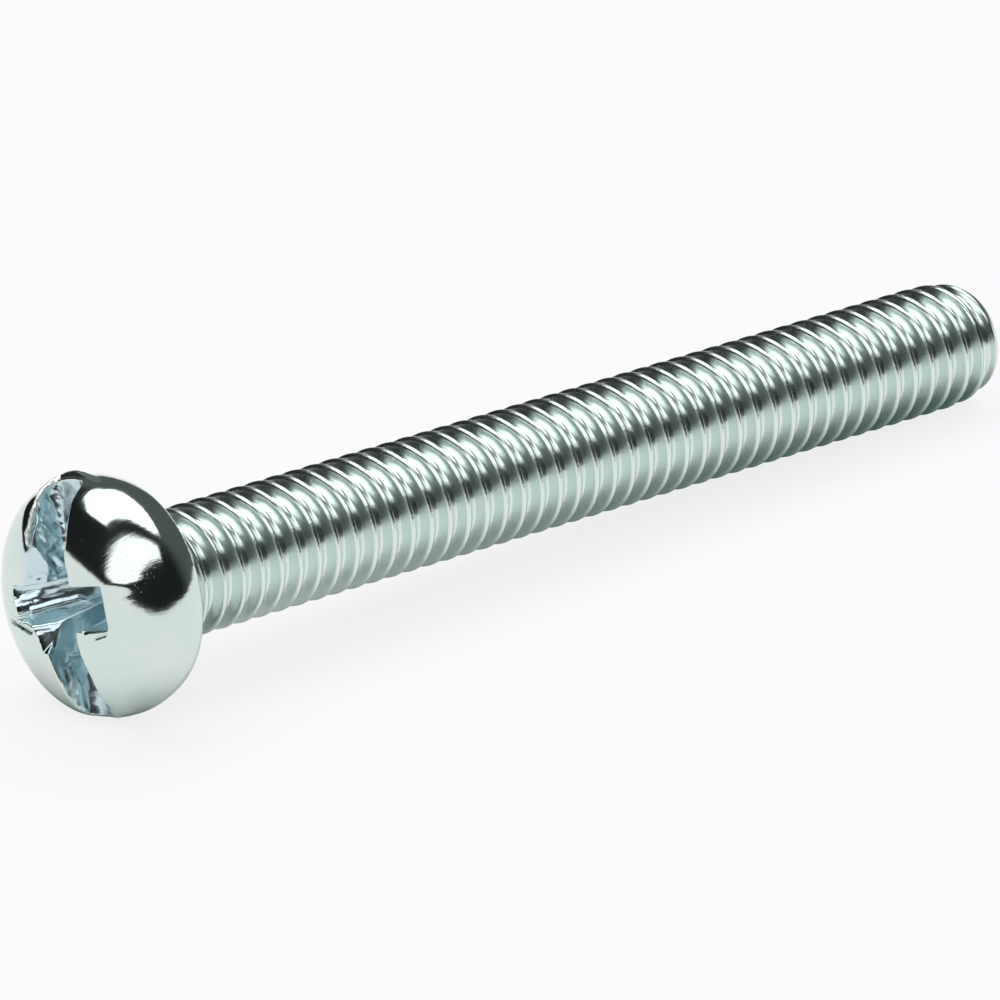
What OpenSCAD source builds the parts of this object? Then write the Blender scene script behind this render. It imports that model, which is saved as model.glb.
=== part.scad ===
// Machine screw with a tall round head, a combined slot and cross drive and a full thread.
// It lies as it comes to rest, on the rim of its head and the last crests of its thread.
// The screw is worked out along its own axis, with the bearing face of the head at x = 0,
// the point of the screw at +X and the dome at -X, and is then laid down as one piece.

/* [Head] */
// Diameter of the head at its widest ring
head_d = 7.7; // [7.3:0.05:8.5]
// Height of the widest ring over the bearing face
rim_h = 1.2; // [0.6:0.05:1.6]
// Height of the dome over the widest ring
dome_h = 1.85; // [1.6:0.05:2.4]
// How far the bearing face is drawn in from the widest ring, on each side
rim_inset = 0.33; // [0.1:0.01:0.5]
// How full the dome is: 2 is an ellipse, more is squarer
dome_fullness = 2.6; // [2:0.1:3.2]

/* [Drive] */
// Width of the slot
slot_w = 1.75; // [1.1:0.05:2]
// Depth of the slot, from the top of the dome
slot_depth = 1.5; // [1:0.05:1.7]
// Span of the cross recess over two opposite wings, at the top of the dome
recess_span = 4.5; // [4.2:0.05:5.2]
// Width of one wing of the cross recess
wing_w = 1.4; // [0.9:0.05:1.5]
// Depth of the cross recess, from the top of the dome
recess_depth = 2.1; // [1.8:0.05:2.3]
// Slope of the outer ends of the wings, from the axis
wing_slope = 26; // [20:1:28]
// Turn of the drive about the axis, from the upright
drive_turn = -17.4; // [-45:0.1:45]

/* [Thread] */
// Length under the head
screw_l = 36.6; // [12:0.1:60]
// Outer diameter of the thread
thread_d = 4.166; // [4:0.01:4.5]
// Pitch of the thread
thread_pitch = 0.79375; // [0.7:0.00625:0.9]
// Length over which the thread rises out of the neck
runout_l = 0.9; // [0.6:0.05:2]
// Angle about the axis at which a crest crosses the bearing face
thread_turn = 259; // [0:1:360]

/* [Neck and point] */
// Length of the plain neck under the head
neck_l = 0.7; // [0.4:0.05:2]
// Gap between the thread and the flat part of the bearing face
seat_gap = 0.06; // [0.03:0.01:0.15]
// Diameter of the flat end of the point
point_d = 2.76; // [2:0.02:3]
// Length over which the thread rounds off towards the point
point_l = 2.5; // [1:0.1:4]
// How full the rounding of the point is: 2 is an ellipse, more is squarer
point_fullness = 2.6; // [2:0.1:3.2]

/* [Hidden] */
$fn = 96;

zinc = [0.78, 0.82, 0.83];

head_r = head_d / 2;
head_h = rim_h + dome_h;
bearing_r = head_r - rim_inset;

// Standard 60 degree thread with a crest of an eighth of the pitch and a rounded root's depth
thread_r = thread_d / 2;
crest_w = thread_pitch / 8;
thread_depth = 0.5946 * thread_pitch;
flank_w = thread_depth * tan(30);
root_r = thread_r - thread_depth;
blank_r = thread_r - 0.3248 * thread_pitch;
point_r = point_d / 2;

// The thread is a net of points: steps round each turn, and four points along each pitch
turn_steps = 24;
// Steps along the outline of the rim, the dome and the fillet
rim_steps = 8;
dome_steps = 18;
fillet_steps = 6;
// How deep the neck starts inside the head, and how far its faded end goes under the thread's root
neck_in = 0.4;
fade_under = 0.1;
// How far the cuts start outside the head
cut_over = 0.5;
// The pit under the cross recess, and its radius as a share of a wing's width
pit_depth = 0.4;
pit_lap = 0.05;
pit_share = 0.4;
// Points nearer to an end than this lie on it
snap = 0.04;

thread_x0 = 0.12;
first_turn = -2;
last_turn = ceil(screw_l / thread_pitch) + 1;
profile = [
    [-crest_w / 2 - flank_w, root_r],
    [-crest_w / 2, thread_r],
    [crest_w / 2, thread_r],
    [crest_w / 2 + flank_w, root_r]
];
rows = (last_turn - first_turn) * 4;

// Quarter of a full oval: 0 at the end of its length, 1 once it has run its length
function oval(t, fullness) =
    t <= 0 ? 0 : t >= 1 ? 1 : pow(1 - pow(1 - t, fullness), 1 / fullness);

// Largest radius that the thread can have at a place along the screw
function point_limit(x) =
    point_r + (thread_r - point_r) * oval((screw_l - x) / point_l, point_fullness);
function runout_limit(x) =
    root_r + (thread_r - root_r) * min(1, max(0, (x - thread_x0) / runout_l));

// One point of the net, held between the two ends of the thread. Half a step of turn puts
// a flat of the net underneath, so that the screw doesn't rest on a corner and roll off it
function thread_point(step, row) =
    let (
        turn = (step + 0.5) / turn_steps,
        corner = profile[row % 4],
        x_free = thread_pitch * (first_turn + floor(row / 4) + turn - thread_turn / 360) + corner[0],
        x = x_free < thread_x0 + snap ? thread_x0 : x_free > screw_l - snap ? screw_l : x_free,
        r_free = x == thread_x0 ? root_r : corner[1],
        r = min(r_free, point_limit(x), runout_limit(x)),
        angle = 360 * turn
    )
    [x, r * cos(angle), r * sin(angle)];

net = [for (step = [0 : turn_steps - 1]) for (row = [0 : rows - 1]) thread_point(step, row)];

// Points of the net by step and row: past a full turn the rows move on by one pitch
function at(step, row) =
    step < turn_steps ? step * rows + row : at(step - turn_steps, min(row + 4, rows - 1));

net_faces = [
    for (step = [0 : turn_steps - 1]) for (row = [0 : rows - 2])
        let (a = at(step, row), b = at(step, row + 1), c = at(step + 1, row + 1), d = at(step + 1, row))
        each [[a, b, c], [a, c, d]]
];
start_cap = [for (step = [0 : turn_steps - 1]) at(step, 0)];
end_cap = [for (step = [turn_steps - 1 : -1 : 0]) at(step, rows - 1)];

// Outline of the head as [radius, place along the axis], from the bearing face to the top of the dome
head_side = [
    for (i = [0 : rim_steps])
        let (rise = i / rim_steps)
        [head_r - rim_inset * pow(1 - rise, 2), -rim_h * rise]
];
head_dome = [
    for (i = [1 : dome_steps])
        let (turn = 90 * i / dome_steps)
        [
            i == dome_steps ? 0 : head_r * pow(cos(turn), 2 / dome_fullness),
            -rim_h - dome_h * pow(sin(turn), 2 / dome_fullness)
        ]
];
head_outline = concat([[0, 0]], head_side, head_dome);

// Outline of the neck: a fillet meets the bearing face outside the thread's own diameter,
// and the far end fades into the first turns of the thread
fillet_r = thread_r + seat_gap - blank_r;
fade_l = blank_r - root_r + fade_under;
neck_outline = concat(
    [[0, -neck_in], [blank_r + fillet_r, -neck_in]],
    [
        for (i = [0 : fillet_steps])
            let (turn = 90 * i / fillet_steps)
            [blank_r + fillet_r * (1 - sin(turn)), fillet_r * (1 - cos(turn))]
    ],
    [[blank_r, neck_l], [blank_r - fade_l, neck_l + fade_l], [0, neck_l + fade_l]]
);

// How far a tilted end reaches below the axis: the screw lies where both ends reach as far.
// The middle of one of the head's flats, which is underneath, is a little nearer to the axis
flat_share = cos(180 / $fn);
function head_reach(tilt) =
    max([for (p = head_outline) p[0] * flat_share * cos(tilt) + p[1] * sin(tilt)]);
function thread_reach(tilt) = max([for (p = net) p[0] * sin(tilt) - p[2] * cos(tilt)]);
function rest_tilt(tries, tilt = 0) =
    tries == 0 ? tilt
        : rest_tilt(tries - 1, tilt + asin((head_reach(tilt) - thread_reach(tilt)) / screw_l));
tilt = rest_tilt(5);
back_x = min([for (p = head_outline) p[1] * cos(tilt) - p[0] * sin(tilt)]);
front_x = max([for (p = net) p[0] * cos(tilt) + p[2] * sin(tilt)]);

// Turns an outline of [radius, place] about the axis of the screw, also with a flat underneath
module turned(outline) {
    rotate([180 / $fn, 0, 0])
        rotate([0, 90, 0])
            rotate_extrude()
                polygon(outline);
}

module head() {
    turned(head_outline);
}

module neck() {
    turned(neck_outline);
}

module thread() {
    polyhedron(points = net, faces = concat([start_cap], net_faces, [end_cap]), convexity = 10);
}

module slot() {
    translate([-head_h - cut_over, -slot_w / 2, -head_r - cut_over])
        cube([slot_depth + cut_over, slot_w, head_d + 2 * cut_over]);
}

// Two crossing wings with sloping outer ends, and the shallow pit of the punch below them
module cross_recess() {
    slope = tan(wing_slope);
    intersection() {
        translate([-head_h - cut_over, 0, 0])
            rotate([0, 90, 0])
                cylinder(
                    h = recess_depth + cut_over,
                    r1 = recess_span / 2 + cut_over * slope,
                    r2 = recess_span / 2 - recess_depth * slope
                );
        for (turn = [0, 90])
            rotate([turn, 0, 0])
                translate([-head_h - 2 * cut_over, -wing_w / 2, -recess_span])
                    cube([recess_depth + 3 * cut_over, wing_w, 2 * recess_span]);
    }
    translate([recess_depth - head_h - pit_lap, 0, 0])
        rotate([0, 90, 0])
            cylinder(h = pit_depth, r1 = wing_w * pit_share, r2 = 0);
}

module drive() {
    rotate([drive_turn, 0, 0]) {
        slot();
        cross_recess();
    }
}

module screw() {
    color(zinc)
        translate([-(back_x + front_x) / 2, 0, head_reach(tilt)])
            rotate([0, tilt, 0]) {
                difference() {
                    union() {
                        head();
                        neck();
                    }
                    drive();
                }
                thread();
            }
}

screw();
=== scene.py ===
"""A zinc-plated machine screw with a round head, a slot and cross drive and a rolled thread.

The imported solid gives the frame. One mesh replaces it: the head is the skin of a field that
holds the dome, the punched drive and its torn metal, and the threaded shank is a net of points
wound along the thread. Lengths are in millimetres until the mesh is laid down in metres.
"""

import math

import bpy
import numpy as np
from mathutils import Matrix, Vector


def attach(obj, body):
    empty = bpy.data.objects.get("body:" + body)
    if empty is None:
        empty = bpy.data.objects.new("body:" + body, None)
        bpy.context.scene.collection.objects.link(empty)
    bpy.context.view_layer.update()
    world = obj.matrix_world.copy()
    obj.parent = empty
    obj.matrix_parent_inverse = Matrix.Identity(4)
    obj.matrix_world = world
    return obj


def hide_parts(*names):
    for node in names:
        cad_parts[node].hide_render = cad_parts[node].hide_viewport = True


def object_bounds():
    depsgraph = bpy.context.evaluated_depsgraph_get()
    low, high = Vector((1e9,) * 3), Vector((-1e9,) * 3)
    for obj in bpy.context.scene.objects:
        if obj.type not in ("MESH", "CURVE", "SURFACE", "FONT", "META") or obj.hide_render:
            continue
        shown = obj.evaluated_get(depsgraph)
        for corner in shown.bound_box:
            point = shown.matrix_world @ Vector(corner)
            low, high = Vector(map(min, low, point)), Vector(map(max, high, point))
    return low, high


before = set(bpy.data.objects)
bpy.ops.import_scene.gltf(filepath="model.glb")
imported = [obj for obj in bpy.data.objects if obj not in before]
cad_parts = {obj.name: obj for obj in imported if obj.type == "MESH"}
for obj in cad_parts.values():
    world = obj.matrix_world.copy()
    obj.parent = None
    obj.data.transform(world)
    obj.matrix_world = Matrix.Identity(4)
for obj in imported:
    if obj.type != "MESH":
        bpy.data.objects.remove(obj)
cad_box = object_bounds()

MM = 0.001
FULL_TURN = 2 * math.pi

# The screw lies on the rim of its head and on the last crests of its thread
REST_TILT = math.radians(2.8531)
REST_BACK = 16.7742
REST_HEIGHT = 3.78576

# Head, as distances from the bearing face and from the axis
HEAD_R = 3.85
RIM_H = 1.2
DOME_H = 1.85
RIM_INSET = 0.33
DOME_FULLNESS = 2.6
TOP = RIM_H + DOME_H

# Drive
DRIVE_TURN = math.radians(-17.4)
SLOT_HALF = 0.875
SLOT_DEPTH = 1.5
RECESS_HALF_SPAN = 2.25
WING_HALF = 0.7
RECESS_DEPTH = 2.1
WING_SLOPE = math.tan(math.radians(26))

# Thread
SCREW_L = 36.6
PITCH = 0.79375
THREAD_R = 2.083
THREAD_TURN = 259 / 360
THREAD_DEPTH = 0.449
CREST_HALF = 0.062
CREST_SOFT = 0.10
ROOT_SOFT = 0.335
FLANK_SLOPE = 1 / math.tan(math.radians(15.8))
BLANK_R = THREAD_R - 0.3248 * PITCH
RUNOUT_START = 0.12
RUNOUT_L = 0.9
RUNOUT_R = 1.61
SEAT_GAP = 0.06
FILLET_R = THREAD_R + SEAT_GAP - BLANK_R
NECK_END = 0.36
POINT_R = 1.38
POINT_L = 2.5
POINT_FULLNESS = 2.6
POINT_HOLLOW = 0.05

# The plain neck fades into the first turns of the thread
FADE_START = 0.7
FADE_END = 1.2
FADE_RATE = 6

# Camera, from the curves of the crests and the outline of the head in the photograph
PHOTO = 1000
AZIMUTH = math.radians(-42.738)
ELEVATION = math.radians(23.151)
LENS = 438.4
SENSOR = 36.0
BEARING_PIXEL = (129.35, 587.4)
BEARING_DEPTH = 378.31


# Socket arithmetic for the materials

class Socket:
    """A node socket that adds its Math nodes as it is reckoned with."""

    def __init__(self, tree, link):
        self.tree = tree
        self.link = link

    def math(self, operation, *values):
        return self.tree.node("ShaderNodeMath", {"operation": operation}, values)

    def __add__(self, other):
        return self.math("ADD", self, other)

    def __sub__(self, other):
        return self.math("SUBTRACT", self, other)

    def __mul__(self, other):
        return self.math("MULTIPLY", self, other)

    def __truediv__(self, other):
        return self.math("DIVIDE", self, other)

    def __pow__(self, other):
        return self.math("POWER", self, other)

    __radd__ = __add__
    __rmul__ = __mul__

    def __rsub__(self, other):
        return self.math("SUBTRACT", other, self)

    def output(self, name):
        """Another output of the same node."""
        return Socket(self.tree, self.link.node.outputs[name])

    def between(self, low, high):
        """0 below low, 1 above high, and a soft rise in between."""
        settings = {"interpolation_type": "SMOOTHSTEP"}
        values = {"Value": self, "From Min": low, "From Max": high}
        return self.tree.node("ShaderNodeMapRange", settings, values)


# Places of the colour sockets on a Mix node
MIX_SHARE = 0
MIX_START = 6
MIX_END = 7
MIX_RESULT = 2


class Tree:
    """A node tree that is filled from the start."""

    def __init__(self, tree):
        self.tree = tree
        tree.nodes.clear()

    def node(self, kind, settings=None, values=(), output=0):
        """Adds a node, with its settings and with the values or sockets for its inputs."""
        made = self.tree.nodes.new(kind)
        for name, value in (settings or {}).items():
            setattr(made, name, value)
        pairs = values.items() if isinstance(values, dict) else enumerate(values)
        for name, value in pairs:
            self.fill(made.inputs[name], value)
        return Socket(self, made.outputs[output]) if len(made.outputs) else made

    def fill(self, socket, value):
        if isinstance(value, Socket):
            self.tree.links.new(value.link, socket)
        else:
            socket.default_value = value

    def mix(self, share, start, end):
        """A colour that goes from one to the other as the share goes from 0 to 1."""
        values = {MIX_SHARE: share, MIX_START: start, MIX_END: end}
        return self.node("ShaderNodeMix", {"data_type": "RGBA"}, values, MIX_RESULT)


def new_material(name):
    material = bpy.data.materials.new(name)
    material.use_nodes = True
    return material, Tree(material.node_tree)


# Fields

def soft_max(a, b, width):
    overlap = np.maximum(width - np.abs(a - b), 0) / width
    return np.maximum(a, b) + overlap * overlap * width / 4


def soft_min(a, b, width):
    return -soft_max(-a, -b, width)


def step_up(value, low, high):
    t = np.clip((value - low) / (high - low), 0, 1)
    return t * t * (3 - 2 * t)


CREASE_GRID = 32


def creases(p, size, seed):
    """Noise between -1 and 1 that runs straight between the points of a grid, so it has creases."""
    table = np.random.default_rng(seed).uniform(-1, 1, (CREASE_GRID, CREASE_GRID, CREASE_GRID))
    q = p / size + 100
    corner = np.floor(q).astype(int)
    share = q - corner
    total = np.zeros(len(p))
    for dx in (0, 1):
        for dy in (0, 1):
            for dz in (0, 1):
                at = (corner + (dx, dy, dz)) % CREASE_GRID
                weight = np.abs(1 - dx - share[:, 0]) * np.abs(1 - dy - share[:, 1])
                weight = weight * np.abs(1 - dz - share[:, 2])
                total += weight * table[at[:, 0], at[:, 1], at[:, 2]]
    return total


def folded(p, *layers):
    """Layers of creases, each given as its stretch each way, its size, its seed and its height."""
    return sum(creases(p / stretch, size, seed) * height for stretch, size, seed, height in layers)


def upright_places(h, w):
    """Places for creases that are the same all the way across the slot."""
    return np.stack([h, np.zeros(len(h)), w], axis=1)


def dome(height, radius):
    """How far a point is outside the turned outline of the head, above the bearing face."""
    rise = np.maximum(height - RIM_H, 0) / DOME_H
    out = radius / HEAD_R
    n = DOME_FULLNESS
    gauge = (rise ** n + out ** n) ** (1 / n)
    slope = np.hypot((rise / gauge) ** (n - 1) / DOME_H, (out / gauge) ** (n - 1) / HEAD_R)
    below = np.clip(1 - height / RIM_H, 0, 1)
    side = radius - (HEAD_R - RIM_INSET * below * below)
    return np.where(height > RIM_H, (gauge - 1) / slope, side)


# More than any distance within the head
FAR = 9.0


def ridge(value, middle, half):
    """A smooth hump: 1 in the middle and 0 from half a width away."""
    return step_up(1 - np.abs(value - middle) / half, 0, 1)


def above(q, point, facing):
    """How far each place is above the plane through a point."""
    facing = np.array(facing) / math.hypot(*facing)
    return (q - np.array(point)) @ facing


def dome_height(radius):
    out = radius / HEAD_R
    return RIM_H + DOME_H * (1 - out ** DOME_FULLNESS) ** (1 / DOME_FULLNESS)


def on_dome(path):
    """Lifts places given across and along the slot onto the dome."""
    return [(dome_height(math.hypot(n, w)), n, w) for n, w in path]


def bead(q, path, radius):
    """How far each place is outside a round bead that follows a path."""
    nearest = np.full(len(q), FAR)
    for a, b in zip(path[:-1], path[1:]):
        a, b = np.array(a), np.array(b)
        share = np.clip((q - a) @ (b - a) / ((b - a) @ (b - a)), 0, 1)
        gap = q - a - share[:, None] * (b - a)
        nearest = np.minimum(nearest, np.sqrt((gap * gap).sum(1)))
    return nearest - radius


# The places below are heights over the bearing face, places across the slot to the right and
# along it to its upper end. They are called h, n and w, and a point with all three is q

LEDGE_TOP = (2.85, -0.83, 2.13)
LEDGE_SIDE = (2.925, -1.38, 1.35)
CORNER = (2.99, -1.18, -0.82)
RIDGE_TOP = (2.40, -0.59, -0.54)
WALL_TOP = 2.9
UPPER_LEAN = 0.08
LOWER_LEAN = 0.20
FAR_LEAN = 0.03

# The folds of the torn wall run down to the right in the upper arm, and along the lower arm
SLANT_COS = 0.84
SLANT_SIN = 0.55
DRAWN_SLOPE = 0.06


def torn_wall(h, w):
    """How far the left wall of the slot is pushed in, with its torn folds."""
    upper = step_up(w, 0.3, 0.9)
    lower = step_up(-w, 0.5, 1.1)
    down = np.maximum(WALL_TOP - h, 0)
    lean = (UPPER_LEAN * upper + LOWER_LEAN * lower) * down
    slant = upright_places(SLANT_COS * h - SLANT_SIN * w, SLANT_SIN * h + SLANT_COS * w)
    torn = folded(slant, ((0.8, 1, 2.1), 0.36, 3, 0.085), ((0.8, 1, 1.4), 0.16, 4, 0.03))
    drawn = upright_places(h - DRAWN_SLOPE * w, w)
    folds = folded(drawn, ((1, 1, 3.2), 0.34, 5, 0.065), ((1, 1, 3.2), 0.15, 6, 0.03))
    bulge = 0.15 * ridge(w, -2.3, 1.3) * step_up(h, 1.4, 2.6)
    bulge = bulge - 0.12 * ridge(w, 1.95, 0.7) * step_up(h, 2.4, WALL_TOP)
    return -SLOT_HALF + lean + torn * upper + folds * lower + bulge


def far_wall(h, w):
    """The right wall of the slot."""
    pushed = 0.19 * ridge(w, -1.2, 1.1) + 0.08 * ridge(w, 1.6, 0.7)
    lean = FAR_LEAN * np.maximum(WALL_TOP - h, 0)
    rough = folded(upright_places(h, w), ((1, 1, 2), 0.3, 7, 0.015))
    return SLOT_HALF - pushed * step_up(h, 2.0, WALL_TOP) - lean + rough


def dished(value, steepness, start, reach):
    """How much deeper the bottom of the recess gets from a start on."""
    return steepness * np.clip(value - start, 0, reach) ** 2


def drive(q):
    """How far a point is outside the punched slot and cross recess."""
    h, n, w = q.T
    depth = TOP - h
    reach = RECESS_HALF_SPAN - depth * WING_SLOPE
    floor = depth - SLOT_DEPTH + folded(q, (1, 0.4, 8, 0.04))
    slot = soft_max(np.maximum(torn_wall(h, w) - n, n - far_wall(h, w)), floor, 0.5)
    # A sloping end is nearer than it is across, by the cosine of the wings' slope
    end_share = 0.9
    level = soft_max(np.abs(w) - WING_HALF, (np.abs(n) - reach) * end_share, 0.10)
    upright = soft_max(np.abs(n) - WING_HALF, (np.abs(w) - reach) * end_share, 0.12)
    bottom = depth - RECESS_DEPTH - dished(n, 0.32, -0.95, 1.2) - dished(w, 0.35, -0.55, 1.1)
    bottom = bottom + folded(q, (1, 0.2, 10, 0.03))
    cross = soft_max(soft_min(level, upright, 0.15), bottom, 0.2)
    return soft_min(slot, cross, 0.10)


DRAWN_RIDGE = [(2.46, -1.82, -0.175), (1.88, -1.35, -0.11), (1.34, -0.90, -0.045), (1.02, -0.60, -0.24),
               (0.86, -0.50, -0.60)]
SECOND_RIDGE = [(2.10, -1.60, -0.36), (1.57, -1.15, -0.30), (1.15, -0.86, -0.34), (0.95, -0.80, -0.55)]


# The bed of the left wing falls to the middle from its outer end
BED_TOP = 2.99
BED_START = -2.2
BED_END = -0.30
BED_FALL = 1.2
BED_SLANT = 1.62

# Its bands climb a little to the middle. They are parted at these places over the foot of the wing
BAND_CLIMB = 0.15
WHITE_BAND = (0.06, 0.42)
FLAT_BAND = -0.12
TEAL_BAND = -0.22


def wing_bed(q):
    """Above the metal that the punch drew along the left wing, in bands that rise to the middle."""
    h, n, w = q.T
    climb = w - BAND_CLIMB * (n + 2)
    low, high = WHITE_BAND
    fading = 0.5 - 0.6 * step_up(n, -1.95, -1.35)
    bands = fading * np.clip(climb - low, 0, high - low) - 0.3 * np.maximum(climb - high, 0)
    bands = bands + 0.08 * np.clip(climb, FLAT_BAND, low)
    bands = bands + 0.4 * np.maximum(TEAL_BAND - climb, 0)
    bands = bands + folded(np.stack([h, n, climb], axis=1), ((4, 4, 1), 0.10, 9, 0.016))
    bed = (h - (BED_TOP - BED_FALL * (n - BED_START) - bands)) / BED_SLANT
    bed = soft_max(bed, n - BED_END, 0.25)
    bed = soft_min(bed, bead(q, DRAWN_RIDGE, 0.085), 0.12)
    return soft_min(bed, bead(q, SECOND_RIDGE, 0.07), 0.12)


def ledge(q):
    """Outside the corner that is sheared off between the left wing and the upper arm."""
    h, n, w = q.T
    crumple = folded(q, ((1, 1.6, 0.7), 0.16, 11, 0.025)) * step_up(1.15 - w, 0, 0.25)
    crumple = crumple + folded(q, (1, 0.5, 12, 0.03))
    inner = above(q, LEDGE_TOP, (0.40, 0.89, -0.23)) + crumple
    outer = above(q, LEDGE_SIDE, (1, 0.9, -0.25)) + crumple
    cut = -soft_max(inner, outer, 0.05)
    bounds = np.maximum(np.maximum(0.60 - w, n + 0.55), w - 2.25)
    return np.maximum(cut, bounds)


def roof(q):
    """Above the facets of the torn corner between the left wing and the lower arm."""
    black = above(q, CORNER, (1, 0.9, 0.13))
    white = above(q, CORNER, (1, 0.82, 0.52))
    teal = above(q, RIDGE_TOP, (0.33, 0.245, 1)) + folded(q, (1, 0.25, 19, 0.03))
    facets = soft_max(np.maximum(black, white), teal, 0.04)
    return facets + folded(q, (1, 0.35, 13, 0.005))


RAGGED_EDGE = [(2.86, -1.03, 2.04), (2.79, -0.99, 2.34), (2.65, -0.92, 2.75), (2.40, -0.87, 3.23),
               (1.92, -0.87, 3.63), (1.50, -0.74, 3.80)]
END_BURR = [(1.32, -0.75, 3.76), (1.27, -0.45, 3.86), (1.25, -0.1, 3.90), (1.26, 0.3, 3.86),
            (1.28, 0.65, 3.77), (1.32, 1.0, 3.63)]
FIN_GROOVE = on_dome([(-2.60, -0.44), (-2.32, -0.50), (-2.05, -0.57), (-1.78, -0.66), (-1.50, -0.76)])
LIP_SLIVER = on_dome([(1.15, -0.72), (1.38, -0.71), (1.60, -0.70), (1.83, -0.68), (2.06, -0.65)])
LIP_GROOVE = on_dome([(1.62, -0.93), (1.82, -0.89), (2.02, -0.84)])


def torn_metal(q, body):
    """Adds the torn corner, the burrs and their grooves to the punched head."""
    h, n, w = q.T
    over_dome = dome(h, np.hypot(n, w))
    facets = roof(q)
    # The facets take the place of the punched corner up to the ridge over the lower arm
    ridge_wall = above(q, RIDGE_TOP, (0.30, 1, -0.128)) + folded(q, (1, 0.3, 14, 0.02))
    cut = np.maximum(np.maximum(-facets, n + 0.45), np.maximum(w - 0.3, -2.75 - n))
    cut = soft_max(cut, 1.2 * (2.95 - h) - w - 1.42, 0.06)
    body = soft_max(body, -cut, 0.03)
    block = soft_max(facets, ridge_wall, 0.035)
    block = soft_max(np.maximum(block, w - 0.6), -1.75 - w, 0.3)
    block = np.maximum(block, over_dome)
    bed = np.maximum(wing_bed(q), np.maximum(np.abs(w) - 0.8, over_dome))
    body = soft_min(soft_min(body, bed, 0.03), block, 0.03)
    tatter = folded(q, (1, 0.12, 15, 0.045), (1, 0.26, 16, 0.035))
    body = soft_min(body, bead(q, RAGGED_EDGE, 0.08) + tatter, 0.04)
    body = soft_min(body, bead(q, END_BURR, 0.115), 0.14)
    body = soft_max(body, -bead(q, FIN_GROOVE, 0.075), 0.02)
    body = soft_max(body, -bead(q, LIP_SLIVER, 0.06), 0.02)
    return soft_max(body, -bead(q, LIP_GROOVE, 0.045), 0.03)


def neck(x, radius):
    """How far a point is outside the neck and the fillet that joins it to the bearing face."""
    plain = radius - BLANK_R
    inside = (x < FILLET_R) & (radius < BLANK_R + FILLET_R)
    fillet = FILLET_R - np.hypot(FILLET_R - x, BLANK_R + FILLET_R - radius)
    return np.where(inside & (x > -0.02), fillet, plain)


def dented_dome(h, n, w):
    """The dome, rolled over at the torn edge, raised by the right wing and crumpled at the lower end."""
    beside_edge = step_up(w, 1.1, 1.5) * step_up(3.5 - w, 0, 0.6) * (n < 0)
    rolled = 0.55 * np.clip(n + 1.52, 0, 0.6) ** 2 * beside_edge
    off_corner = np.maximum(n - 0.9, 0) / 1.45 + np.maximum(w - 0.75, 0)
    raised = 0.05 * (1 - step_up(off_corner, 0.9, 2.0)) * (n > 0) * step_up(w, 0.3, 0.7)
    place = np.stack([h, n, w], axis=1)
    end = step_up(-w, 2.6, 3.3) * ridge(n, 0.0, 1.3) * (h > 0.3)
    crumple = 0.05 + folded(place, (1, 0.3, 17, 0.05), (1, 0.13, 18, 0.02))
    return dome(h, np.hypot(n, w)) + rolled - raised + np.maximum(crumple, 0) * end


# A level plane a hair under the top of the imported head, in the frame of the screw
LIMIT_HEIGHT = 3.9
LIMIT_LEAN = 0.0498


def head_field(p):
    """Below zero in the metal. p holds the place along the axis, across the slot and along it."""
    x, across, along = p.T
    q = np.stack([-x, across, along], axis=1)
    body = soft_max(dented_dome(*q.T), x, 0.14)
    body = soft_max(body, -np.minimum(drive(q), ledge(q)), 0.06)
    # The torn metal reaches no further than this
    near = (q[:, 0] > 0.7) & ((across < 1.3) | (np.abs(along + 0.7) < 0.7))
    body[near] = torn_metal(q[near], body[near])
    # Nothing stands higher than the screw's own box
    up = along * math.cos(DRIVE_TURN) - across * math.sin(DRIVE_TURN)
    body = np.maximum(body, up + LIMIT_LEAN * q[:, 0] - LIMIT_HEIGHT)
    return np.minimum(body, np.where(x > -0.3, neck(x, np.hypot(across, along)), FAR))


# Steps for the slope of a surface, and the least square of a slope that a point is moved by
SLOPE_STEP = 0.004
LEAST_SLOPE = 0.05


def slope_of(field, p, reach=SLOPE_STEP):
    """The field's slope at each point, from a small step each way."""
    slope = np.empty_like(p)
    for axis in range(3):
        shift = np.zeros(3)
        shift[axis] = reach
        slope[:, axis] = (field(p + shift) - field(p - shift)) / (2 * reach)
    return slope


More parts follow.
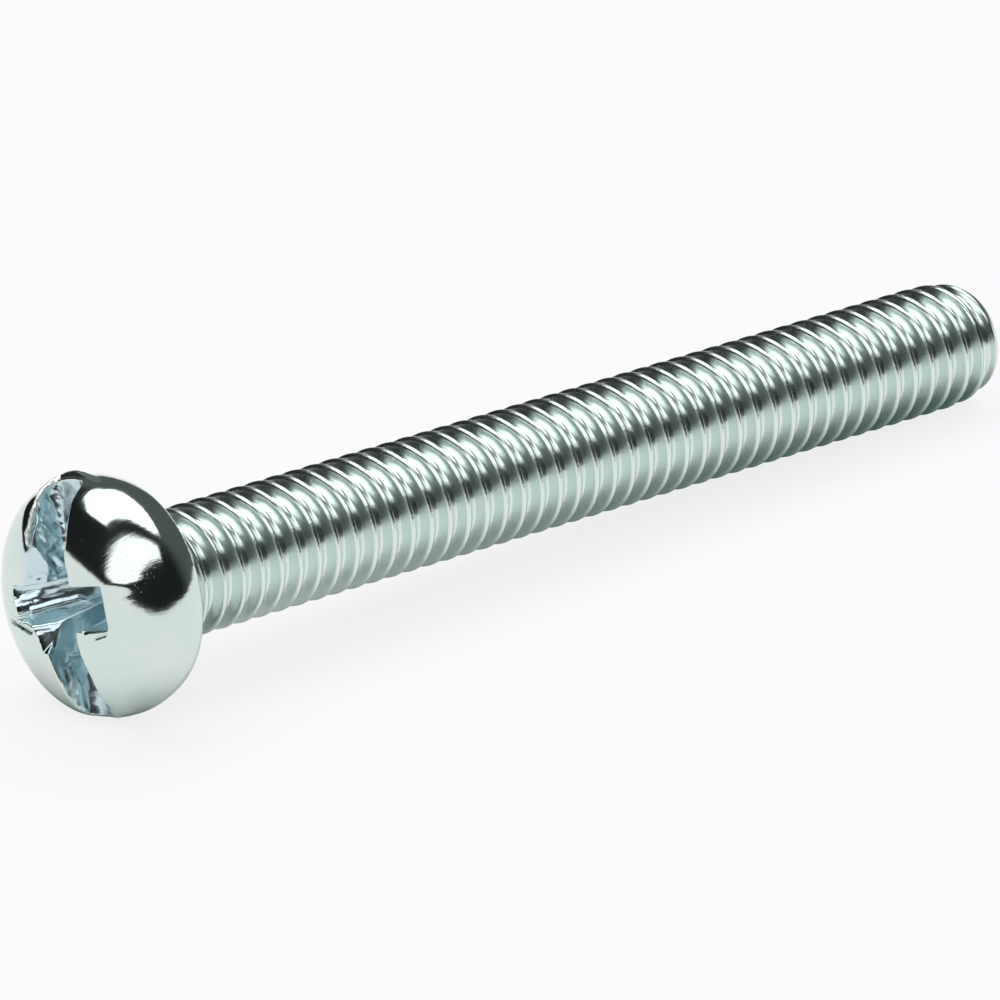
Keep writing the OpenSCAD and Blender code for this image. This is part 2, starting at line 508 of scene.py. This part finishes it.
def skin(field, axes):
    """Points and four-sided faces where the field changes sign, with one point to a grid cell."""
    counts = [len(a) for a in axes]
    grid = np.stack(np.meshgrid(*axes, indexing="ij"), axis=-1)
    values = np.concatenate([field(layer.reshape(-1, 3)) for layer in grid]).reshape(counts)
    corners = [(a, b, c) for a in (0, 1) for b in (0, 1) for c in (0, 1)]
    shape = [n - 1 for n in counts]
    inside = sum(
        (values[a:a + shape[0], b:b + shape[1], c:c + shape[2]] < 0).astype(int)
        for a, b, c in corners
    )
    cells = np.argwhere((inside > 0) & (inside < 8))
    number = np.full(shape, -1)
    number[tuple(cells.T)] = np.arange(len(cells))
    total = np.zeros((len(cells), 3))
    crossings = np.zeros(len(cells))
    for a in corners:
        for axis in range(3):
            if a[axis]:
                continue
            b = list(a)
            b[axis] = 1
            at_a = tuple((cells + a).T)
            at_b = tuple((cells + b).T)
            va = values[at_a]
            vb = values[at_b]
            crosses = (va < 0) != (vb < 0)
            share = np.where(crosses, va / np.where(crosses, va - vb, 1), 0)
            place = grid[at_a] + share[:, None] * (grid[at_b] - grid[at_a])
            total[crosses] += place[crosses]
            crossings += crosses
    points = total / crossings[:, None]
    faces = []
    for axis in range(3):
        one, two = [(1, 2), (2, 0), (0, 1)][axis]
        ahead = np.take(values, range(1, counts[axis]), axis) < 0
        behind = np.take(values, range(0, counts[axis] - 1), axis) < 0
        edges = np.argwhere(ahead != behind)
        keep = (edges[:, one] > 0) & (edges[:, one] < shape[one])
        keep &= (edges[:, two] > 0) & (edges[:, two] < shape[two])
        edges = edges[keep]
        quad = []
        for back_one, back_two in ((1, 1), (0, 1), (0, 0), (1, 0)):
            cell = edges.copy()
            cell[:, one] -= back_one
            cell[:, two] -= back_two
            quad.append(number[tuple(cell.T)])
        quad = np.stack(quad, axis=1)
        leaving = behind[tuple(edges.T)]
        faces.append(np.where(leaving[:, None], quad, quad[:, ::-1]))
    faces = np.concatenate(faces)
    return points, faces, cells[:, 0] == shape[0] - 1


def settle(field, start, tries=4, reach=0.06):
    """Moves each point straight onto the surface of the field, but not far out of its cell."""
    p = start
    for _ in range(tries):
        slope = slope_of(field, p)
        steepness = np.maximum((slope * slope).sum(1), LEAST_SLOPE)
        shift = p - slope * (field(p) / steepness)[:, None] - start
        far = np.linalg.norm(shift, axis=1)[:, None]
        p = start + shift * np.minimum(1, reach / np.maximum(far, reach / 2))
    return p


def unit(vectors):
    return vectors / np.linalg.norm(vectors, axis=1)[:, None]


# The head, worked out in the frame of its drive and turned into the frame of the screw

FINE = 0.05
COARSE = 0.105
ACROSS = np.array([0, -math.cos(DRIVE_TURN), -math.sin(DRIVE_TURN)])
ALONG = np.array([0, -math.sin(DRIVE_TURN), math.cos(DRIVE_TURN)])
FROM_DRIVE = np.array([[1, 0, 0], ACROSS, ALONG])


def spaced(*stops):
    """Grid lines between stops, each given as a place and the step that leads up to it."""
    lines = [stops[0]]
    for place, step in stops[1:]:
        count = max(round((place - lines[-1]) / step), 1)
        lines += np.linspace(lines[-1], place, count + 1)[1:].tolist()
    return np.array(lines)


side = HEAD_R + 0.2
head_points, head_faces, last_layer = skin(head_field, [
    spaced(-TOP - 0.2, (-0.85, FINE), (NECK_END, COARSE)),
    spaced(-side, (-2.7, COARSE), (1.1, FINE), (2.3, 0.07), (side, COARSE)),
    spaced(-side, (-side + 0.1, 0.05), (side, 0.058)),
])
head_points[~last_layer] = settle(head_field, head_points[~last_layer])
head_normals = unit(slope_of(head_field, head_points))
head_places = head_points * (-1, 1, 1)
head_torn = 1 - step_up(bead(head_places, RAGGED_EDGE, 0.1), 0, 0.08)
head_torn = np.maximum(head_torn, 0.4 - 0.4 * step_up(bead(head_places, END_BURR, 0.13), 0, 0.1))
head_points = head_points @ FROM_DRIVE
head_normals = head_normals @ FROM_DRIVE
head_faces = head_faces[:, ::-1]


def open_ring(faces):
    """The points round the open end of the faces, in their order."""
    edges = {(a, b) for face in faces for a, b in zip(face, face[1:] + face[:1])}
    after = {a: b for a, b in edges if (b, a) not in edges}
    loop = [min(after)]
    while after[loop[-1]] != loop[0]:
        loop.append(after[loop[-1]])
    return np.array(loop)


# The last points of the head become a true ring on the neck
ring = open_ring(head_faces.tolist())
ring_angle = np.arctan2(head_points[ring, 2], head_points[ring, 1])
if np.sin(np.diff(ring_angle)).sum() < 0:
    ring = ring[::-1]
    ring_angle = ring_angle[::-1]
ring = np.roll(ring, -np.argmin(ring_angle))
ring_angle = np.sort(ring_angle)
head_points[ring] = np.stack([
    np.full(len(ring), NECK_END), BLANK_R * np.cos(ring_angle), BLANK_R * np.sin(ring_angle)
], axis=1)
head_normals[ring] = np.stack([0 * ring_angle, np.cos(ring_angle), np.sin(ring_angle)], axis=1)


# The shank

TURN_STEPS = 56
START_X = NECK_END + 0.03


def oval(t, fullness):
    return (1 - (1 - np.clip(t, 0, 1)) ** fullness) ** (1 / fullness)


def thread_radius(x, angle):
    """Distance of the thread's surface from the axis."""
    turns = x / PITCH - angle / FULL_TURN + THREAD_TURN
    off = np.abs(turns - np.round(turns)) * PITCH
    flank = THREAD_R - (off - CREST_HALF) * FLANK_SLOPE
    r = soft_max(soft_min(flank, THREAD_R, CREST_SOFT), THREAD_R - THREAD_DEPTH, ROOT_SOFT)
    point = POINT_R + (THREAD_R - POINT_R) * oval((SCREW_L - x) / POINT_L, POINT_FULLNESS)
    rise = np.clip((x - RUNOUT_START) / RUNOUT_L, 0, 1)
    runout = RUNOUT_R + (THREAD_R + 0.02 - RUNOUT_R) * rise
    r = soft_min(r, point, 0.05)
    r = soft_min(r, runout, 0.04)
    plain = BLANK_R - FADE_RATE * np.maximum(x - FADE_START, 0) ** 2
    return np.where(x < FADE_END, soft_max(r, plain, 0.05), r)


# The rows of one pitch, closer together on the crest
half_rows = [0.055, 0.10, 0.145, 0.205, 0.29]
pitch_rows = [-PITCH / 2] + [-r for r in reversed(half_rows)] + [0] + half_rows
per_pitch = len(pitch_rows)
pitches = math.ceil(SCREW_L / PITCH) + 3
row_x = np.array([PITCH * (k - 2 - THREAD_TURN) + r for k in range(pitches) for r in pitch_rows])
step_turn = np.arange(TURN_STEPS + 1) / TURN_STEPS
net_x = np.clip(row_x[None, :] + PITCH * step_turn[:, None], START_X, SCREW_L)
# Places this near to an end lie on it
snap = 0.015
net_x = np.where(net_x < START_X + snap, START_X, net_x)
net_x = np.where(net_x > SCREW_L - snap, SCREW_L, net_x)
net_angle = np.broadcast_to(FULL_TURN * step_turn[:, None], net_x.shape)


def shank_points(x, angle):
    r = thread_radius(x, angle)
    return np.stack([x, r * np.cos(angle), r * np.sin(angle)], axis=-1)


def shank_normals(x, angle):
    h = SLOPE_STEP
    r = thread_radius(x, angle)
    along = (thread_radius(x + h, angle) - thread_radius(x - h, angle)) / (2 * h)
    turn = h / 2
    around = (thread_radius(x, angle + turn) - thread_radius(x, angle - turn)) / (2 * turn * r)
    c, s = np.cos(angle), np.sin(angle)
    return unit(np.stack([-along, c + around * s, s - around * c], axis=-1).reshape(-1, 3))


# Number the net: rows before the start or past the end share one point of each step
rows = net_x.shape[1]
steps = TURN_STEPS
start_number = np.arange(steps)
end_number = np.arange(steps) + steps
middle = (net_x[:steps] > START_X) & (net_x[:steps] < SCREW_L)
number = np.zeros((steps, rows), int)
number[middle] = 2 * steps + np.arange(middle.sum())
number = np.where(net_x[:steps] <= START_X, start_number[:, None], number)
number = np.where(net_x[:steps] >= SCREW_L, end_number[:, None], number)
# One step past the last is the first again, a pitch further on
wrapped = np.concatenate([number[0, per_pitch:], np.full(per_pitch, end_number[0])])
number = np.concatenate([number, wrapped[None, :]])
angles = FULL_TURN * np.arange(steps) / steps
shank_x = np.concatenate([
    np.full(steps, START_X), np.full(steps, SCREW_L), net_x[:steps][middle]
])
shank_angle = np.concatenate([angles, angles, net_angle[:steps][middle]])
shank = shank_points(shank_x, shank_angle)
shank_normal = shank_normals(shank_x, shank_angle)

net_quads = np.stack(
    [number[:-1, :-1], number[1:, :-1], number[1:, 1:], number[:-1, 1:]], axis=-1
).reshape(-1, 4)


def plain_faces(quads):
    """Drops the corners that a face has twice, and the faces that are left with two."""
    faces = []
    for quad in quads.tolist():
        face = [c for i, c in enumerate(quad) if c not in quad[:i]]
        if len(face) > 2:
            faces.append(face)
    return faces


# The end of the point, slightly hollow as it was sheared
CAP_RINGS = 6
cap_points = []
cap_faces = []
previous = end_number.tolist()
count = len(shank)
for k in range(1, CAP_RINGS):
    share = 1 - k / CAP_RINGS
    r = POINT_R * share
    dip = POINT_HOLLOW * (1 - share ** 4)
    cap_points += [[SCREW_L - dip, r * math.cos(a), r * math.sin(a)] for a in angles]
    current = list(range(count, count + steps))
    count += steps
    for i in range(steps):
        ahead = (i + 1) % steps
        cap_faces.append([previous[ahead], current[ahead], current[i], previous[i]])
    previous = current
cap_points.append([SCREW_L - POINT_HOLLOW, 0, 0])
cap_faces += [[previous[(i + 1) % steps], count, previous[i]] for i in range(steps)]
cap_points = np.array(cap_points)
cap_normals = np.tile([1.0, 0, 0], (len(cap_points), 1))

# Join the ring of the head to the first ring of the shank, in the order of their angles
base = len(head_points)
seam = []
start_angle = np.where(angles > math.pi, angles - FULL_TURN, angles)
start_ring = (base + np.argsort(start_angle)).tolist()
start_angle = np.sort(start_angle).tolist()
ring_list = ring.tolist()
ring_angle = ring_angle.tolist()
ring_angle.append(ring_angle[0] + FULL_TURN)
start_angle.append(start_angle[0] + FULL_TURN)
i = j = 0
while i < len(ring_list) or j < len(start_ring):
    next_head = ring_angle[min(i + 1, len(ring_list))]
    next_start = start_angle[min(j + 1, len(start_ring))]
    here = ring_list[i % len(ring_list)]
    there = start_ring[j % len(start_ring)]
    if j >= len(start_ring) or (i < len(ring_list) and next_head <= next_start):
        seam.append([here, there, ring_list[(i + 1) % len(ring_list)]])
        i += 1
    else:
        seam.append([here, there, start_ring[(j + 1) % len(start_ring)]])
        j += 1

points = np.concatenate([head_points, shank, cap_points])
normals = np.concatenate([head_normals, shank_normal, cap_normals])
faces = head_faces.tolist()
faces += [[c + base for c in face] for face in plain_faces(net_quads)]
faces += [[c + base for c in face] for face in cap_faces]
faces += [face[::-1] for face in seam]


def lay_down(p):
    """Takes the screw from its own frame, in millimetres, to where it rests, in metres."""
    x, y, z = p.T
    c, s = math.cos(REST_TILT), math.sin(REST_TILT)
    return np.stack([x * c + z * s - REST_BACK, y, z * c - x * s + REST_HEIGHT], axis=1) * MM


def turn_down(v):
    """Turns directions as lay_down turns the screw."""
    x, y, z = v.T
    c, s = math.cos(REST_TILT), math.sin(REST_TILT)
    return np.stack([x * c + z * s, y, z * c - x * s], axis=1)


# Cosine between the field's normal and the net's own, below which the net's own stands
FOLDED = 0.5

mesh = bpy.data.meshes.new("screw_body")
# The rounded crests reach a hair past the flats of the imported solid, and are kept to its box
laid = np.clip(lay_down(points), cad_box[0], cad_box[1])
mesh.from_pydata(laid.tolist(), [], faces)
mesh.validate()
mesh.polygons.foreach_set("use_smooth", [True] * len(mesh.polygons))
# Where a fold is finer than the net, the net's own normal stands
smooth = turn_down(normals)
plain = np.empty(3 * len(points), dtype=np.float32)
mesh.vertex_normals.foreach_get("vector", plain)
plain = plain.reshape(-1, 3)
too_fine = (smooth * plain).sum(1) < FOLDED
smooth[too_fine] = plain[too_fine]
mesh.normals_split_custom_set_from_vertices(smooth.tolist())
screw = bpy.data.objects.new("screw_body", mesh)
bpy.context.collection.objects.link(screw)


# Finish

def add_share(name, values):
    """Keeps one number for each point of the mesh, which the finish reads."""
    attribute = mesh.attributes.new(name, "FLOAT", "POINT")
    attribute.data.foreach_set("value", np.asarray(values, dtype=np.float32))


own_x, own_y, own_z = points.T
own_radius = np.hypot(own_y, own_z)
under_dome = -dome(-own_x, own_radius)
add_share("recess", step_up(under_dome, 0.02, 0.16) * (own_x < -0.3))
near_crest = step_up(own_radius, THREAD_R - 0.04, THREAD_R - 0.005)
add_share("crest", near_crest * (own_x > 0.5))
add_share("shank", step_up(own_x, 0.05, 0.3))
torn_share = np.zeros(len(points))
torn_share[:len(head_torn)] = head_torn
add_share("torn", torn_share)

zinc, tree = new_material("zinc_plate")
place = tree.node("ShaderNodeTexCoord").output("Object")
parts = tree.node("ShaderNodeSeparateXYZ", {}, [place])
forward = parts.output("X") / MM + REST_BACK
upward = parts.output("Z") / MM - REST_HEIGHT
cos_rest, sin_rest = math.cos(REST_TILT), math.sin(REST_TILT)
along_axis = forward * cos_rest - upward * sin_rest
over_axis = forward * sin_rest + upward * cos_rest
beside_axis = parts.output("Y") / MM
axis_distance = (beside_axis * beside_axis + over_axis * over_axis) ** 0.5
screw_place = tree.node("ShaderNodeCombineXYZ", {}, [along_axis, beside_axis, over_axis])
in_recess, on_crest, on_shank, is_torn = (
    tree.node("ShaderNodeAttribute", {"attribute_name": name}).output("Fac")
    for name in ("recess", "crest", "shank", "torn")
)


def grain(size, detail=2.0, rough=0.5, at=None):
    """Noise around a half, with lumps of the given size in millimetres."""
    values = {"Vector": at or screw_place, "Scale": 1 / size, "Detail": detail, "Roughness": rough}
    return tree.node("ShaderNodeTexNoise", {}, values)


# Lines that the dies left: they run outward over the dome, and round the shank along the thread
LINES_A_RADIAN = 20
LINES_A_MM = 14
spread = tree.node("ShaderNodeCombineXYZ", {}, [
    axis_distance * 0.4,
    beside_axis / axis_distance * LINES_A_RADIAN,
    over_axis / axis_distance * LINES_A_RADIAN,
])
dome_lines = grain(1.0, 3.0, 0.6, spread)
wound = tree.node("ShaderNodeCombineXYZ", {}, [
    axis_distance * LINES_A_MM, beside_axis * 0.5, over_axis * 0.5
])
thread_lines = grain(1.0, 2.0, 0.5, wound)

# Depths are in millimetres
swell = grain(0.9, 1.0)
ripple = grain(0.16, 3.0, 0.6)
pock = grain(0.11, 3.0, 0.6)
clouds = grain(1.6, 3.0)
pits = pock.between(0.67, 0.77) * clouds.between(0.44, 0.60)
specks = grain(0.07, 1.0).between(0.68, 0.82)

height = swell * (0.009 - 0.004 * on_shank)
height = height + ripple * (0.0022 + 0.002 * in_recess)
height = height - pits * (0.0024 + 0.003 * in_recess)
height = height + specks * 0.002 * clouds.between(0.54, 0.66)
height = height + dome_lines * 0.0028 * (1 - on_shank)
height = height + thread_lines * 0.002 * on_shank
height = height + grain(0.09, 2.0) * (on_crest * 0.008 + is_torn * 0.03)
bump = tree.node("ShaderNodeBump", {}, {"Strength": 1.0, "Distance": MM, "Height": height})

COOL = (0.66, 0.765, 0.74, 1)
WARM = (0.70, 0.765, 0.735, 1)
ROLLED = (0.745, 0.84, 0.805, 1)
# A bluer, slightly darker colour for the recess: painted shade, standing in for the blue cast of the
# shade inside it
PAINTED_RECESS_SHADE = (0.60, 0.735, 0.775, 1)
# A lighter, warmer colour for the crests: a painted reflection of the pale light along them
PAINTED_CREST_SHEEN = (0.80, 0.82, 0.795, 1)
# A near-white colour for the torn burrs: a painted highlight, on metal that is torn and rough
TORN_PAINTED_HIGHLIGHT = (0.93, 0.95, 0.95, 1)
colour = tree.mix(clouds.between(0.4, 0.65), COOL, WARM)
colour = tree.mix(on_shank, colour, ROLLED)
# Painted shade: the recess takes the bluer, darker colour
colour = tree.mix(in_recess, colour, PAINTED_RECESS_SHADE)
# Painted reflection: the crests are lightened a little
colour = tree.mix(on_crest * 0.15, colour, PAINTED_CREST_SHEEN)
# Painted highlight on the torn burrs, whose extra roughness and bumps are their own
colour = tree.mix(is_torn * 0.9, colour, TORN_PAINTED_HIGHLIGHT)
roughness = 0.07 + 0.07 * grain(0.5, 4.0)
roughness = roughness + 0.12 * on_shank + 0.10 * in_recess + 0.25 * is_torn
shader = tree.node("ShaderNodeBsdfPrincipled", {}, {
    "Base Color": colour,
    "Metallic": 1.0,
    "Roughness": roughness,
    "Normal": bump,
})
tree.node("ShaderNodeOutputMaterial", {}, {"Surface": shader})
mesh.materials.append(zinc)

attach(screw, "root")
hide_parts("screw")


# Floor, studio and camera

FLOOR_R = 3.0
FLOOR_SIDES = 64

floor_mesh = bpy.data.meshes.new("floor")
floor_mesh.from_pydata(
    [(FLOOR_R * math.cos(a), FLOOR_R * math.sin(a), 0)
     for a in np.linspace(0, FULL_TURN, FLOOR_SIDES, endpoint=False)],
    [],
    [list(range(FLOOR_SIDES))],
)
floor = bpy.data.objects.new("floor", floor_mesh)
bpy.context.collection.objects.link(floor)

# White to the camera, with a part of the light that really falls on it, for the shadow.
# In the metal it also shows the green shade close under the screw.
SHOWN_WHITE = 0.82
MIRRORED_WHITE = 0.8
SHADE_REACH = 3.2 * MM
GREEN_SHADE = (0.05, 0.10, 0.08, 1)
WHITE = (1, 1, 1, 1)

paper, tree = new_material("paper")
rays = tree.node("ShaderNodeLightPath")
is_camera = rays.output("Is Camera Ray")
is_mirrored = rays.output("Is Glossy Ray") + rays.output("Is Transmission Ray")
seen = is_camera * SHOWN_WHITE + is_mirrored * MIRRORED_WHITE
openness = tree.node("ShaderNodeAmbientOcclusion", {"samples": 4}, {"Distance": SHADE_REACH})
openness = openness.output("AO").between(0.22, 0.92)
shade = tree.mix(openness * is_mirrored + (1 - is_mirrored), GREEN_SHADE, WHITE)
lit = tree.node("ShaderNodeBsdfDiffuse", {}, {"Color": (0.84, 0.84, 0.84, 1)})
white = tree.node("ShaderNodeEmission", {}, {"Color": shade, "Strength": 1.0})
mixed = tree.node("ShaderNodeMixShader", {}, [seen, lit, white])
tree.node("ShaderNodeOutputMaterial", {}, {"Surface": mixed})
floor_mesh.materials.append(paper)

# The studio is a dark room with two long soft panels overhead. Places on a ceiling one metre up
# are given as across, to the right, and deep, to the back.
PANEL_LEVEL = 2.5
FRONT_SHARE = 0.57
PANEL = (PANEL_LEVEL, PANEL_LEVEL, PANEL_LEVEL, 1)
ROOM = (0.013, 0.015, 0.015, 1)
WALL = (0.09, 0.105, 0.10, 1)
WALL_TOWARD = (0.906, 0.423)
LOWEST_TOP = 0.02

world = bpy.data.worlds.new("studio")
world.use_nodes = True
bpy.context.scene.world = world
tree = Tree(world.node_tree)
rays = tree.node("ShaderNodeLightPath")
direction = tree.node("ShaderNodeTexCoord").output("Generated")
parts = tree.node("ShaderNodeSeparateXYZ", {}, [direction])
toward_right, toward_back, toward_top = parts.output("X"), parts.output("Y"), parts.output("Z")
top = toward_top.math("MAXIMUM", toward_top, LOWEST_TOP)
across = toward_right / top
deep = toward_back / top
back_front_edge = -0.06 - 0.38 * across
front_back_edge = -0.40 - 0.32 * across
back_panel = (deep - back_front_edge).between(-0.03, 0.07) * (1 - deep.between(0.76, 0.86))
back_panel = back_panel * across.between(-1.02, -0.90) * (1 - across.between(0.98, 1.10))
front_panel = (1 - (deep - front_back_edge).between(-0.07, 0.05)) * deep.between(-1.15, -1.02)
front_panel = front_panel * across.between(-6.6, -5.6) * (1 - across.between(0.72, 0.90))
level_reach = (toward_right * toward_right + toward_back * toward_back) ** 0.5
wall_share = WALL_TOWARD[0] * toward_right + WALL_TOWARD[1] * toward_back
wall_share = (wall_share / level_reach).between(0.35, 0.8)
wall_share = wall_share * (1 - toward_top.between(0.6, 0.75))
room = tree.mix(wall_share, ROOM, WALL)
studio = tree.mix(back_panel + front_panel * FRONT_SHARE, room, PANEL)
dark = tree.node("ShaderNodeBackground", {}, {"Color": studio, "Strength": 1.0})
pale = tree.node("ShaderNodeBackground", {}, {"Color": WHITE, "Strength": 1.0})
mixed = tree.node("ShaderNodeMixShader", {}, [rays.output("Is Camera Ray"), dark, pale])
tree.node("ShaderNodeOutputWorld", {}, {"Surface": mixed})

back = Vector((
    math.sin(AZIMUTH) * math.cos(ELEVATION),
    -math.cos(AZIMUTH) * math.cos(ELEVATION),
    math.sin(ELEVATION),
))
right = Vector((math.cos(AZIMUTH), math.sin(AZIMUTH), 0))
up = back.cross(right)
pixels_per_slope = LENS / SENSOR * PHOTO
slope_right = (BEARING_PIXEL[0] - PHOTO / 2) / pixels_per_slope
slope_down = (BEARING_PIXEL[1] - PHOTO / 2) / pixels_per_slope
bearing = Vector(lay_down(np.zeros((1, 3)))[0])
camera_data = bpy.data.cameras.new("camera")
camera_data.lens = LENS
camera_data.sensor_width = SENSOR
camera_data.clip_start = 0.01
camera_data.clip_end = 20
camera = bpy.data.objects.new("camera", camera_data)
camera.location = bearing + BEARING_DEPTH * MM * (back - slope_right * right + slope_down * up)
camera.rotation_euler = (-back).to_track_quat("-Z", "Y").to_euler()
bpy.context.collection.objects.link(camera)
bpy.context.scene.camera = camera
bpy.context.scene.view_settings.view_transform = "Standard"
